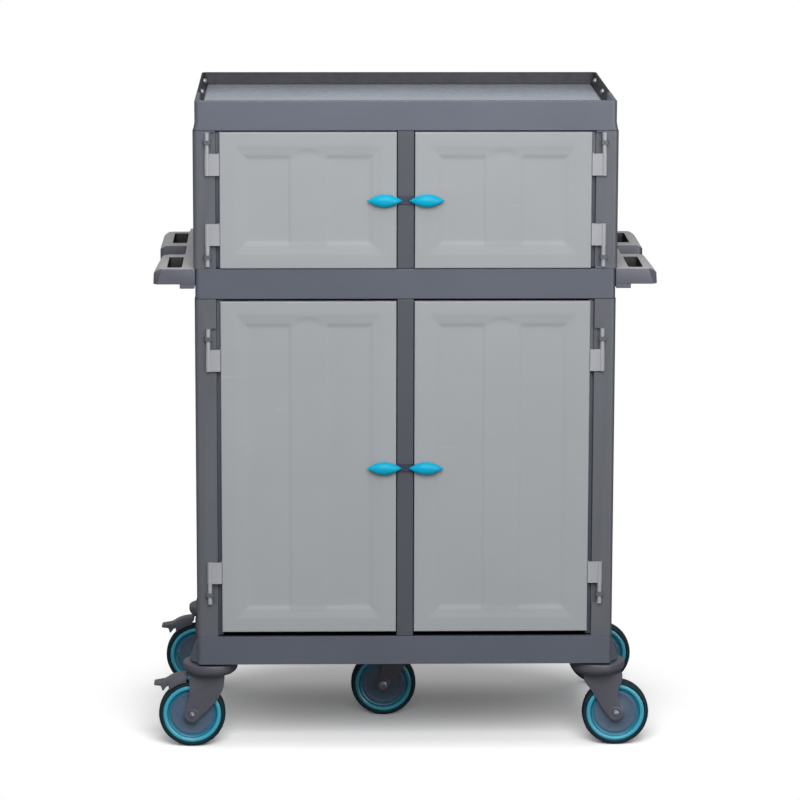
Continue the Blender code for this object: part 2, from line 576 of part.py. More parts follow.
def make_pedal(tag, x, y, trail, parts):
    """Brake pedal: a forked toe plate beyond the wheel's trailing side."""
    body = moved(upright(outline([PEDAL_OUTLINE], 2 * PEDAL_HALF)), y=PEDAL_HALF)
    body = moved(mirrored(body, trail), x, y)
    place("pedal_" + tag, body, parts, "fork", origin=(x + trail * PEDAL_X, y, PEDAL_Z),
          soften=SOFT_PEDAL)


def main():
    clear_scene()
    parts = collection("housekeeping_cart")
    cutters = collection("cutters")
    make_base_frame(parts, cutters)
    make_mid_frame(parts, cutters)
    make_top_frame(parts, cutters)
    make_tray(parts, cutters)
    make_plates(parts)
    tiers = {"upper": (MID_TOP + GAP, TOP_LOW - GAP, ("ul_top", "ul_low")),
             "lower": (BASE_TOP + GAP, MID_LOW - GAP, ("ll_top", "ll_low"))}
    doors = {"upper": (UPPER_LOW, UPPER_HIGH), "lower": (LOWER_LOW, LOWER_HIGH)}
    for tier, (low, high, lugs) in tiers.items():
        for hand, side in (("l", -1), ("r", 1)):
            make_post(f"post_{tier}_{hand}", side, low, high, [LUGS[lug] for lug in lugs], parts, cutters)
            make_side(f"side_{tier}_{hand}", side, low, high, parts)
            tag = tier[0] + hand
            door_low, door_high = doors[tier]
            make_door("door_" + tag, side, door_low, door_high, parts, cutters)
            make_knob("knob_" + tag, side, KNOB_Z[tier], parts, cutters)
            for lug in lugs:
                hinge = (side * PIN_X, PIN_Y, door_low)
                make_lug(f"lug_{tag}_{lug[3:]}", side, *LUGS[lug], parts, cutters, hinge)
    for hand, side in (("l", -1), ("r", 1)):
        make_handle("handle_" + hand, side, parts, cutters)
    for row, (x, y) in CASTORS.items():
        for hand, side in (("l", -1), ("r", 1)):
            make_castor(row + hand, side * x, y, side, parts, cutters)
        make_pedal(row + "l", -x, y, -1, parts)
    make_castor("mid", 0.0, CASTOR_MID, -1, parts, cutters)


main()
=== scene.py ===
import json
import math

import bmesh
import bpy
from mathutils import Matrix, Vector


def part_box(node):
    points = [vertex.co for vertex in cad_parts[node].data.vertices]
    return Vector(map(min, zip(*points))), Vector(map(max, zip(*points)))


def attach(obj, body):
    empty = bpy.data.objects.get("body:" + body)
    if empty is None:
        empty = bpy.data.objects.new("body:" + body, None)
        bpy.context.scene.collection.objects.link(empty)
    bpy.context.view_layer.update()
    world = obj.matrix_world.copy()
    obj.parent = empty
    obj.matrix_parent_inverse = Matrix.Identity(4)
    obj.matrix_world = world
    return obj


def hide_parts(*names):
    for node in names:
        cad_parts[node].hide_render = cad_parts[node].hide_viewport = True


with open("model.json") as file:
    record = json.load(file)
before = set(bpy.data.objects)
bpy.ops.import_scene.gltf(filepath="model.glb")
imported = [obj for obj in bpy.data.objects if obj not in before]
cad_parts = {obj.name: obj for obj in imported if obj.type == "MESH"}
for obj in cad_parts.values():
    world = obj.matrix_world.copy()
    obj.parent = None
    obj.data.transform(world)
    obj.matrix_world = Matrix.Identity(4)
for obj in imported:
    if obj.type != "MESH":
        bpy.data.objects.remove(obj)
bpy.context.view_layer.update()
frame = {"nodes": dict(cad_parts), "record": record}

MM = 0.001
CART = "cart"
SAME = 0.01  # points nearer than this, in millimetres, are one
NODES = frame["nodes"]
SLOTS = {part["node"]: part["material_slot"] for part in frame["record"]["subparts"]}


# ---------------------------------------------------------------- small tools
def linear(r, g, b):
    """Linear colour of an 8-bit sRGB one."""
    out = []
    for value in (r, g, b):
        value /= 255.0
        out.append(value / 12.92 if value <= 0.04045 else ((value + 0.055) / 1.055) ** 2.4)
    return (*out, 1.0)


def box(node):
    """Lowest and highest corner of a CAD node, in millimetres."""
    low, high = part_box(node)
    return [v / MM for v in low], [v / MM for v in high]


def link(obj):
    bpy.context.scene.collection.objects.link(obj)
    return obj


def clamp(value):
    return min(1.0, max(0.0, value))


def ease(value):
    """Smooth step from 0 to 1."""
    value = clamp(value)
    return value * value * (3 - 2 * value)


def piece(name, bm, mat, body, stands_for=(), sharp=35.0, other=None):
    """Shown object from a mesh in millimetres, riding on a CAD body.
    other is the material of the faces whose index is 1."""
    bmesh.ops.scale(bm, vec=(MM, MM, MM), verts=bm.verts)
    bmesh.ops.recalc_face_normals(bm, faces=bm.faces)
    mesh = bpy.data.meshes.new(name)
    bm.to_mesh(mesh)
    bm.free()
    mesh.shade_smooth()
    mesh.set_sharp_from_angle(angle=math.radians(sharp))
    mesh.materials.append(mat)
    if other:
        mesh.materials.append(other)
    obj = link(bpy.data.objects.new(name, mesh))
    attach(obj, body)
    if stands_for:
        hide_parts(*stands_for)
    return obj


def together(*bodies):
    """One mesh from several, which it uses up."""
    joined = bmesh.new()
    for body in bodies:
        mesh = bpy.data.meshes.new("island")
        body.to_mesh(mesh)
        body.free()
        joined.from_mesh(mesh)
        bpy.data.meshes.remove(mesh)
    return joined


def moved(bm, x=0.0, y=0.0, z=0.0):
    bmesh.ops.translate(bm, vec=(x, y, z), verts=bm.verts)
    return bm


def mirrored(bm, side):
    """Mirror the mesh across X where side is negative."""
    if side < 0:
        bmesh.ops.scale(bm, vec=(-1.0, 1.0, 1.0), verts=bm.verts)
    return bm


def turned(bm, degrees, axis):
    bmesh.ops.transform(bm, matrix=Matrix.Rotation(math.radians(degrees), 4, axis), verts=bm.verts)
    return bm


def lathe(profile, steps, closed=False):
    """Round body about Z from (radius, height) pairs; a closed profile makes a ring."""
    bm = bmesh.new()
    points = [bm.verts.new((r, 0.0, z)) for r, z in profile]
    pairs = list(zip(points, points[1:]))
    if closed:
        pairs.append((points[-1], points[0]))
    edges = [bm.edges.new(pair) for pair in pairs]
    bmesh.ops.spin(bm, geom=points + edges, cent=(0, 0, 0), axis=(0, 0, 1), angle=math.tau, steps=steps,
                   use_merge=True)
    bmesh.ops.remove_doubles(bm, verts=bm.verts, dist=SAME)
    return bm


def rounded(corners, steps=8):
    """2-D loop from (x, y, radius) corners, each rounded by an arc."""
    loop = []
    for index, (x, y, radius) in enumerate(corners):
        if radius == 0:
            loop.append((x, y))
            continue
        here = Vector((x, y))
        before = (Vector(corners[index - 1][:2]) - here).normalized()
        after = (Vector(corners[(index + 1) % len(corners)][:2]) - here).normalized()
        half = before.angle(after) / 2
        centre = here + (before + after).normalized() * radius / math.sin(half)
        first = here + before * radius / math.tan(half) - centre
        last = here + after * radius / math.tan(half) - centre
        turn = first.angle_signed(last)
        for step in range(steps + 1):
            spoke = first.copy()
            spoke.rotate(Matrix.Rotation(-turn * step / steps, 2))
            loop.append(tuple(centre + spoke))
    return loop


def rectangle(x0, x1, y0, y1, radius):
    return rounded([(x0, y0, radius), (x1, y0, radius), (x1, y1, radius), (x0, y1, radius)])


def circle(x, y, radius, steps):
    return [(x + radius * math.cos(math.tau * step / steps), y + radius * math.sin(math.tau * step / steps))
            for step in range(steps)]


def prism(loops, low, high, soft=0.0, steps=3):
    """Prism of 2-D loops, the first outside and the rest holes, whose two rims are rounded by soft."""
    curve = bpy.data.curves.new("outline", "CURVE")
    curve.dimensions = "2D"
    curve.fill_mode = "BOTH"
    curve.extrude = (high - low) / 2
    for loop in loops:
        spline = curve.splines.new("POLY")
        spline.points.add(len(loop) - 1)
        for point, (x, y) in zip(spline.points, loop):
            point.co = (x, y, 0.0, 1.0)
        spline.use_cyclic_u = True
    pattern = link(bpy.data.objects.new("outline", curve))
    graph = bpy.context.evaluated_depsgraph_get()
    mesh = bpy.data.meshes.new_from_object(pattern.evaluated_get(graph))
    bpy.data.objects.remove(pattern)
    bpy.data.curves.remove(curve)
    bm = bmesh.new()
    bm.from_mesh(mesh)
    bpy.data.meshes.remove(mesh)
    bmesh.ops.remove_doubles(bm, verts=bm.verts, dist=SAME)
    bmesh.ops.translate(bm, vec=(0.0, 0.0, (low + high) / 2), verts=bm.verts)
    bmesh.ops.dissolve_limit(bm, angle_limit=math.radians(0.5), verts=bm.verts, edges=bm.edges)
    if soft:
        bmesh.ops.recalc_face_normals(bm, faces=bm.faces)
        rims = [edge for edge in bm.edges if len(edge.link_faces) == 2
                and abs(edge.verts[0].co.z - edge.verts[1].co.z) < SAME
                and sorted(round(abs(face.normal.z)) for face in edge.link_faces) == [0, 1]]
        bmesh.ops.bevel(bm, geom=rims, offset=soft, offset_type="OFFSET", segments=steps, profile=0.5,
                        affect="EDGES", clamp_overlap=True)
    return bm


def bar(low, high, soft=0.8, steps=2):
    """Box between two corners with every edge rounded."""
    bm = bmesh.new()
    size = Vector(high) - Vector(low)
    middle = (Vector(high) + Vector(low)) / 2
    bmesh.ops.create_cube(bm, size=1.0, matrix=Matrix.Translation(middle) @ Matrix.Diagonal(size.to_4d()))
    bmesh.ops.bevel(bm, geom=bm.edges[:], offset=soft, offset_type="OFFSET", segments=steps, profile=0.5,
                    affect="EDGES", clamp_overlap=True)
    return bm


def upright(bm):
    """Turn an XY prism so that its Y runs up and its depth runs along -Y."""
    return turned(bm, 90, "X")


# ---------------------------------------------------------------- materials
def shader_nodes(name):
    mat = bpy.data.materials.new(name)
    mat.use_nodes = True
    tree = mat.node_tree
    return mat, tree, tree.nodes["Principled BSDF"], tree.nodes.new("ShaderNodeTexCoord")


def noise(tree, coords, scale, detail=2.0, stretch=None, distortion=0.0):
    """Noise texture on object coordinates, stretched where asked."""
    made = tree.nodes.new("ShaderNodeTexNoise")
    made.inputs["Scale"].default_value = scale
    made.inputs["Detail"].default_value = detail
    made.inputs["Distortion"].default_value = distortion
    source = coords.outputs["Object"]
    if stretch:
        mapping = tree.nodes.new("ShaderNodeMapping")
        mapping.inputs["Scale"].default_value = stretch
        tree.links.new(source, mapping.inputs["Vector"])
        source = mapping.outputs["Vector"]
    tree.links.new(source, made.inputs["Vector"])
    return made.outputs["Fac"]


def remap(tree, value, old, new):
    made = tree.nodes.new("ShaderNodeMapRange")
    made.inputs["From Min"].default_value, made.inputs["From Max"].default_value = old
    made.inputs["To Min"].default_value, made.inputs["To Max"].default_value = new
    tree.links.new(value, made.inputs["Value"])
    return made.outputs["Result"]


def blend(tree, factor, one, other):
    """Mix of two colours, each a tuple or a socket."""
    made = tree.nodes.new("ShaderNodeMix")
    made.data_type = "RGBA"
    tree.links.new(factor, made.inputs[0])
    for socket, value in ((made.inputs[6], one), (made.inputs[7], other)):
        if isinstance(value, tuple):
            socket.default_value = value
        else:
            tree.links.new(value, socket)
    return made.outputs[2]


def total(tree, *values):
    out = values[0]
    for value in values[1:]:
        made = tree.nodes.new("ShaderNodeMath")
        made.operation = "ADD"
        tree.links.new(out, made.inputs[0])
        tree.links.new(value, made.inputs[1])
        out = made.outputs[0]
    return out


def shade(colour, amount):
    return (*[clamp(channel * amount) for channel in colour[:3]], 1.0)


def bumps(tree, shader, layers):
    """Chain of bumps from (height, strength, distance in metres)."""
    normal = None
    for height, strength, distance in layers:
        made = tree.nodes.new("ShaderNodeBump")
        made.inputs["Strength"].default_value = strength
        made.inputs["Distance"].default_value = distance
        tree.links.new(height, made.inputs["Height"])
        if normal:
            tree.links.new(normal, made.inputs["Normal"])
        normal = made.outputs["Normal"]
    tree.links.new(normal, shader.inputs["Normal"])


def plastic(name, rgb, rough=0.45, grain=0.25, mottle=0.05, edge_wear_and_highlight=0.25, spec=0.5, flow=0.03,
            painted_top_light=None, painted_shade_far=None, wave=0.12):
    """Moulded plastic: spark-eroded grain, faint flow marks, paler edges and fine scuffs; the paler edges
    are wear and also a painted highlight. The colour given for what faces up is painted light from above;
    the far-out darkening, (axis, from, to, amount), is painted shade on what lies far out along the axis;
    wave is how uneven the surface is at large."""
    mat, tree, shader, coords = shader_nodes(name)
    base = linear(*rgb)
    patches = remap(tree, noise(tree, coords, 5.0, 4.0), (0.3, 0.7), (0.0, 1.0))
    colour = blend(tree, patches, shade(base, 1 - mottle), shade(base, 1 + mottle))
    streaks = noise(tree, coords, 3.0, 5.0, (1.0, 1.0, 9.0), 0.6)
    streaks = remap(tree, streaks, (0.35, 0.65), (0.0, flow * 4))
    colour = blend(tree, streaks, colour, shade(base, 1.12))
    geometry = tree.nodes.new("ShaderNodeNewGeometry")
    # Paler convex edges: wear, and also a painted highlight on edges that catch the light.
    edges = remap(tree, geometry.outputs["Pointiness"], (0.52, 0.62), (0.0, edge_wear_and_highlight))
    colour = blend(tree, edges, colour, shade(base, 1.5))
    scratches = noise(tree, coords, 40.0, 3.0, (0.12, 1.0, 1.0), 0.8)
    scratches = remap(tree, scratches, (0.68, 0.74), (0.0, 0.35))
    colour = blend(tree, scratches, colour, shade(base, 1.14))
    # Up-facing surfaces take a lighter colour: a painted highlight standing in for light from above.
    if painted_top_light:
        facing = tree.nodes.new("ShaderNodeSeparateXYZ")
        tree.links.new(geometry.outputs["Normal"], facing.inputs[0])
        upper = remap(tree, facing.outputs["Z"], (0.3, 0.85), (0.0, 1.0))
        top = linear(*painted_top_light)
        colour = blend(tree, upper, colour,
                       blend(tree, patches, shade(top, 1 - mottle), shade(top, 1 + mottle)))
    # Painted shade: the colour darkens towards the far ends along the given axis.
    if painted_shade_far:
        place = tree.nodes.new("ShaderNodeSeparateXYZ")
        tree.links.new(coords.outputs["Object"], place.inputs[0])
        away = tree.nodes.new("ShaderNodeMath")
        away.operation = "ABSOLUTE"
        tree.links.new(place.outputs[painted_shade_far[0]], away.inputs[0])
        far_shade = remap(tree, away.outputs[0], painted_shade_far[1:3], (0.0, 1.0))
        colour = blend(tree, far_shade, colour, shade(base, painted_shade_far[3]))
    tree.links.new(colour, shader.inputs["Base Color"])
    uneven = remap(tree, noise(tree, coords, 60.0, 3.0), (0.3, 0.7), (rough - 0.05, rough + 0.05))
    broad = remap(tree, noise(tree, coords, 4.0, 2.0), (0.3, 0.7), (-0.03, 0.05))
    tree.links.new(total(tree, uneven, broad), shader.inputs["Roughness"])
    shader.inputs["Specular IOR Level"].default_value = spec
    bumps(tree, shader, ((noise(tree, coords, 14.0, 2.0), wave, 0.0012),
                         (noise(tree, coords, 900.0, 2.0), grain, 0.0003)))
    return mat


def rubber(name, rgb, rough=0.62):
    mat, tree, shader, coords = shader_nodes(name)
    base = linear(*rgb)
    dust = remap(tree, noise(tree, coords, 22.0, 6.0), (0.42, 0.7), (0.0, 0.3))
    colour = blend(tree, dust, base, shade(base, 2.2))
    tree.links.new(colour, shader.inputs["Base Color"])
    tree.links.new(remap(tree, noise(tree, coords, 80.0, 3.0), (0.3, 0.7), (rough - 0.08, rough + 0.1)),
                   shader.inputs["Roughness"])
    shader.inputs["Specular IOR Level"].default_value = 0.25
    bumps(tree, shader, ((noise(tree, coords, 120.0, 3.0), 0.2, 0.0005),
                         (noise(tree, coords, 1100.0, 2.0), 0.3, 0.0002)))
    return mat


def metal(name, rgb, rough=0.32):
    mat, tree, shader, coords = shader_nodes(name)
    base = linear(*rgb)
    shader.inputs["Metallic"].default_value = 1.0
    patches = remap(tree, noise(tree, coords, 90.0, 4.0), (0.35, 0.7), (0.0, 1.0))
    tree.links.new(blend(tree, patches, shade(base, 0.86), shade(base, 1.08)), shader.inputs["Base Color"])
    tree.links.new(remap(tree, noise(tree, coords, 300.0, 3.0), (0.3, 0.7), (rough - 0.08, rough + 0.12)),
                   shader.inputs["Roughness"])
    bumps(tree, shader, ((noise(tree, coords, 500.0, 2.0), 0.15, 0.0002),))
    return mat


FRAME = plastic("frame_plastic", (83, 88, 100), 0.48)
POST = plastic("post_plastic", (87, 90, 97), 0.48)
STILE = plastic("stile_plastic", (71, 74, 83), 0.5)
FASCIA = plastic("fascia_plastic", (90, 95, 108), 0.42)
# The rim's side runs are painted darker: painted shade inside the rim.
DARK = plastic("gallery_plastic", (40, 41, 48), 0.55, spec=0.35, painted_shade_far=("X", 0.440, 0.450, 0.8))
# The deck is painted darker towards its back: painted shade by the back rim.
DECK = plastic("deck_plastic", (160, 168, 181), 0.24, grain=0.03, painted_shade_far=("Y", 0.0, 0.29, 0.74), wave=0.03)
DOOR = plastic("door_plastic", (161, 164, 167), 0.6, spec=0.25, grain=0.2, mottle=0.02, edge_wear_and_highlight=0.12, flow=0.02)
LUG = plastic("lug_plastic", (159, 161, 166), 0.4, mottle=0.02, edge_wear_and_highlight=0.15)
KNOB = plastic("knob_plastic", (0, 168, 204), 0.36, grain=0.08, mottle=0.03, edge_wear_and_highlight=0.05, spec=0.18)
RIM = plastic("rim_plastic", (66, 170, 196), 0.3, grain=0.1, mottle=0.04, edge_wear_and_highlight=0.2)
# A darker copy of the ring's turquoise: painted shade on the inner band that slopes into the wheel.
RIM_SHADED = plastic("rim_inner_painted_shade", (26, 112, 140), 0.35, grain=0.1, mottle=0.05, edge_wear_and_highlight=0.1)
KEEPER = plastic("keeper_plastic", (44, 52, 76), 0.45)
FORK = plastic("fork_plastic", (84, 84, 95), 0.42, edge_wear_and_highlight=0.3)
HUB = plastic("hub_plastic", (84, 102, 124), 0.3, grain=0.12)
# The handle's tops are painted lighter: painted light from above, not a real change of colour.
HANDLE = plastic("handle_plastic", (91, 93, 104), 0.45, edge_wear_and_highlight=0.3, painted_top_light=(186, 185, 188))
# The upright walls of the handle holes: a dark painted shade inside the holes.
SHADED_WELL = plastic("handle_well_painted_shade", (38, 37, 38), 0.55)
BOLT = metal("bolt_steel", (150, 152, 168), 0.28)
SCREW = metal("screw_steel", (158, 160, 166), 0.45)
TYRE = rubber("tyre_rubber", (10, 39, 48))
ZINC = metal("zinc_plate", (176, 178, 186))
SHOWN = {"frame": FRAME, "frame_dark": DARK, "deck": DECK, "door": DOOR, "lug": LUG, "turquoise": RIM,
         "keeper": KEEPER, "tyre": TYRE, "fork": FORK, "zinc": ZINC, "handle": HANDLE}


# ---------------------------------------------------------------- CAD nodes that stay
def soften(node, width):
    """Round the edges of a CAD node as a moulding's are."""
    obj = NODES[node]
    weld = obj.modifiers.new("weld", "WELD")
    weld.merge_threshold = 0.000005
    flat = obj.modifiers.new("flat", "DECIMATE")
    flat.decimate_type = "DISSOLVE"
    flat.angle_limit = math.radians(0.6)
    edge = obj.modifiers.new("edge", "BEVEL")
    edge.width = width * MM
    edge.segments = 3
    edge.limit_method = "ANGLE"
    edge.angle_limit = math.radians(35.0)
    edge.use_clamp_overlap = True
    even = obj.modifiers.new("even", "WEIGHTED_NORMAL")
    even.keep_sharp = False
    obj.data.shade_smooth()


for node, obj in NODES.items():
    obj.data.materials.clear()
    obj.data.materials.append(SHOWN[SLOTS[node]])
NODES["top_frame"].data.materials[0] = FASCIA
for node in ("stile_upper", "stile_lower"):
    NODES[node].data.materials[0] = STILE
for node in ("post_upper_l", "post_upper_r", "post_lower_l", "post_lower_r"):
    NODES[node].data.materials[0] = POST
for node, width in (("top_frame", 2.5), ("mid_frame", 2.0), ("base_frame", 2.5), ("tray_deck", 0.8),
                    ("shelf_lower", 2.0), ("stile_upper", 2.0), ("stile_lower", 2.0),
                    ("keeper_upper", 0.8), ("keeper_lower", 0.8), ("back_upper", 1.0), ("back_lower", 1.0)):
    soften(node, width)
for tier in ("upper", "lower"):
    for hand in "lr":
        soften(f"post_{tier}_{hand}", 1.2)
        soften(f"side_{tier}_{hand}", 1.5)
        for end in ("top", "low"):
            soften(f"lug_{tier[0]}{hand}_{end}", 0.9)


# ---------------------------------------------------------------- doors
FACET_OUT, FACET_IN, FACET_DEEP = 31.0, 47.0, 1.9
WALL_RUN, FIELD_DEEP = 16.0, 5.0
BAND_HALF, BAND_DEEP, BAND_RUN, ARCH_RISE = 45.0, 3.0, 9.0, 13.0
SOFT_EDGE = 2.5
# How far the top edge of an upper and a lower door is shown below its solid's
TOP_GAP = {"u": 1.2, "l": 2.6}
RIB_PITCH, RIB_HALF, RIB_RUN, POCKET, POCKET_EDGE = 118.0, 2.2, 1.6, 5.0, 13.0
DOOR_TAGS = ("ul", "ur", "ll", "lr")
# Grid lines of a door's skins: how far they lie from its edge, the step between the others, the
# least gap between two, and the steps along the arch
NEAR_EDGE = (0, 0.4, 1.0, 1.8, 2.8, 4.0, POCKET_EDGE, POCKET_EDGE + 0.8, POCKET_EDGE + 1.6, 22,
             FACET_OUT - 0.5, FACET_OUT + 0.5, 37, 43, FACET_IN - 0.4, FACET_IN + 0.4)
LINE_STEP, LINE_GAP, ARCH_STEP_X, ARCH_STEP_Z = 14.0, 0.35, 3.0, 1.2


def arch_top(across, top):
    """Height of the middle band's upper edge, which rises in an arch."""
    return top + ARCH_RISE * (1 + math.cos(math.pi * clamp(abs(across) / BAND_HALF))) / 2


def front_depth(x, z, x0, x1, z0, z1, top):
    """How far the door's front lies behind its face at a point; top is where its skin ends."""
    edge = min(x - x0, x1 - x, z - z0, z1 - z)
    facet = FACET_DEEP * clamp((edge - FACET_OUT) / (FACET_IN - FACET_OUT))
    field = facet + ease((edge - FACET_IN) / WALL_RUN) * (FIELD_DEEP - facet)
    across = x - (x0 + x1) / 2
    inside = min(arch_top(across, z1 - FACET_IN) - z, z - z0 - FACET_IN)
    band = facet + ease(inside / WALL_RUN) * (BAND_DEEP - facet)
    depth = field + ease((BAND_HALF - abs(across)) / BAND_RUN) * (band - field)
    rim = min(edge, top - z)
    if rim < SOFT_EDGE:
        depth += SOFT_EDGE - math.sqrt(SOFT_EDGE ** 2 - (SOFT_EDGE - rim) ** 2)
    return depth


def pocket_depth(x, z, x0, x1, z0, z1, ribs_x, ribs_z):
    """How far the door's back is hollowed between its ribs."""
    edge = min(x - x0, x1 - x, z - z0, z1 - z) - POCKET_EDGE
    rib = min([abs(x - at) for at in ribs_x] + [abs(z - at) for at in ribs_z]) - RIB_HALF
    return POCKET * ease(min(edge, rib) / RIB_RUN)


def lines(low, high, ribs, extra):
    """Grid lines along one side of a door, close together where its relief turns."""
    near = list(NEAR_EDGE) + [FACET_IN + WALL_RUN * step / 6 for step in range(1, 7)]
    found = [low + at for at in near] + [high - at for at in near] + extra
    for at in ribs:
        found += [at + side * (RIB_HALF + run) for side in (-1, 1)
                  for run in (0, RIB_RUN / 2, RIB_RUN)] + [at]
    at = low + FACET_IN
    while at < high - FACET_IN:
        found.append(at)
        at += LINE_STEP
    found.sort()
    kept = [found[0]]
    for at in found[1:]:
        if at - kept[-1] > LINE_GAP:
            kept.append(at)
    kept[-1] = high
    return kept


def spread(low, high):
    """Places of the ribs between two edges, evenly spaced."""
    count = max(1, round((high - low) / RIB_PITCH))
    return [low + (high - low) * step / count for step in range(1, count)]


def grid_face(bm, xs, zs, height):
    """Grid of points that stand where the height function says."""
    return [[bm.verts.new((x, height(x, z), z)) for z in zs] for x in xs]


def make_door(tag):
    """Panel with its relief in front and ribs behind."""
    (x0, y0, z0), (x1, y1, z1) = box("door_" + tag)
    top = z1 - TOP_GAP[tag[0]]
    ribs_x, ribs_z = spread(x0, x1), spread(z0, top)
    middle = (x0 + x1) / 2
    band = [middle + side * (BAND_HALF - BAND_RUN * step / 6) for side in (-1, 1)
            for step in range(-1, 8)]
    xs = lines(x0, x1, ribs_x, band + [middle + step * ARCH_STEP_X for step in range(-13, 14)])
    arch = [z1 - FACET_IN + step * ARCH_STEP_Z for step in range(-8, 13)]
    zs = lines(z0, top, ribs_z, arch)
    bm = bmesh.new()
    front = grid_face(bm, xs, zs, lambda x, z: y0 + front_depth(x, z, x0, x1, z0, z1, top))
    back = grid_face(bm, xs, zs,
                     lambda x, z: y1 - pocket_depth(x, z, x0, x1, z0, top, ribs_x, ribs_z))
    for skin in (front, back):
        for i in range(len(xs) - 1):
            for j in range(len(zs) - 1):
                bm.faces.new((skin[i][j], skin[i + 1][j], skin[i + 1][j + 1], skin[i][j + 1]))
    last_x, last_z = len(xs) - 1, len(zs) - 1
    for i in range(last_x):
        for j in (0, last_z):
            bm.faces.new((front[i][j], front[i + 1][j], back[i + 1][j], back[i][j]))
    for j in range(last_z):
        for i in (0, last_x):
            bm.faces.new((front[i][j], front[i][j + 1], back[i][j + 1], back[i][j]))
    piece("door_panel_" + tag, bm, DOOR, "door_" + tag, ("door_" + tag,), sharp=50.0)


for tag in DOOR_TAGS:
    make_door(tag)


# ---------------------------------------------------------------- turn knobs
SKIRT_HIGH, SKIRT = 6.0, ((0, 5.5), (11.4, 5.5), (12.0, 4.9), (12.0, 1.2), (13.2, 0.6), (13.2, 0), (0, 0))
GRIP_AROUND, GRIP_ALONG, UNDER_DEEP = 20, 30, 3.2
# The grip's roundness: two powers for its plan, two for its ridge, and one each for its section's
# top, underside and sides
PLAN_POWERS, RIDGE_POWERS, OVER_POWER, UNDER_POWER, SIDE_POWER = (1.9, 0.95), (2.4, 0.8), 0.85, 0.6, 0.9


def make_knob(tag):
    """Pointed oval grip with a rounded ridge, on a round skirt."""
    (x0, y0, z0), (x1, y1, z1) = box("knob_" + tag)
    middle, height = (x0 + x1) / 2, (z0 + z1) / 2
    half_l, half_h, depth = (x1 - x0) / 2, (z1 - z0) / 2, y1 - y0
    base = y1 - SKIRT_HIGH
    rings = []
    bm = bmesh.new()
    for i in range(1, GRIP_ALONG):
        s = -math.cos(math.pi * i / GRIP_ALONG)
        wide = half_h * (1 - abs(s) ** PLAN_POWERS[0]) ** PLAN_POWERS[1]
        tall = (depth - SKIRT_HIGH) * (1 - abs(s) ** RIDGE_POWERS[0]) ** RIDGE_POWERS[1]
        under = min(UNDER_DEEP, wide * 0.5)
        ring = []
        for j in range(GRIP_AROUND):
            turn = math.tau * j / GRIP_AROUND
            rise, side = math.sin(turn), math.cos(turn)
            lift = tall * abs(rise) ** OVER_POWER if rise > 0 else -under * abs(rise) ** UNDER_POWER
            flat = math.copysign(abs(side) ** SIDE_POWER, side)
            ring.append(bm.verts.new((middle + half_l * s, base - lift, height + wide * flat)))
        rings.append(ring)
    tips = [bm.verts.new((middle + side * half_l, base - 0.3, height)) for side in (-1, 1)]
    for one, other in zip(rings, rings[1:]):
        for j in range(GRIP_AROUND):
            k = (j + 1) % GRIP_AROUND
            bm.faces.new((one[j], one[k], other[k], other[j]))
    for j in range(GRIP_AROUND):
        k = (j + 1) % GRIP_AROUND
        bm.faces.new((tips[0], rings[0][k], rings[0][j]))
        bm.faces.new((tips[1], rings[-1][j], rings[-1][k]))
    skirt = moved(turned(lathe(SKIRT, 40), 90, "X"), middle, y1, height)
    piece("knob_grip_" + tag, together(bm, skirt), KNOB, "knob_" + tag, ("knob_" + tag,),
          sharp=50.0)


for tag in DOOR_TAGS:
    make_knob(tag)


# ---------------------------------------------------------------- tray rim
RIM_FOOT, RIM_LIP = 13.6, 3.0
SCREW_HEAD = ((0, 6.0), (2.2, 5.8), (4.2, 5.0), (5.6, 3.6), (6.2, 1.8), (6.3, -0.8), (0, -0.8))
SCREWS_Y, SCREWS_Z, SCREWS_IN, SCREWS_TILT = (235.0, 8.0), 1452.0, 7.6, 68.0
RETURN_FRONT, RETURN_REAR, RETURN_LOW, RETURN_WIDE = -299.5, -130.0, 1440.0, 8.6
RETURN_PROUD_X, RETURN_PROUD_Z = 0.15, 0.35


def rim_loop(half, back, front, inset, radius, steps=8):
    """U-shaped run round the tray at an inset from its outside, with the front ends open."""
    x, y = half - inset, back - inset
    corners = []
    for side in (-1, 1):
        centre = (side * (x - radius), y - radius)
        turns = range(steps + 1) if side < 0 else range(steps, -1, -1)
        for step in turns:
            turn = math.radians(90 * step / steps)
            corners.append((centre[0] + side * radius * math.cos(turn), centre[1] + radius * math.sin(turn)))
    return [(-x, front)] + corners + [(x, front)]


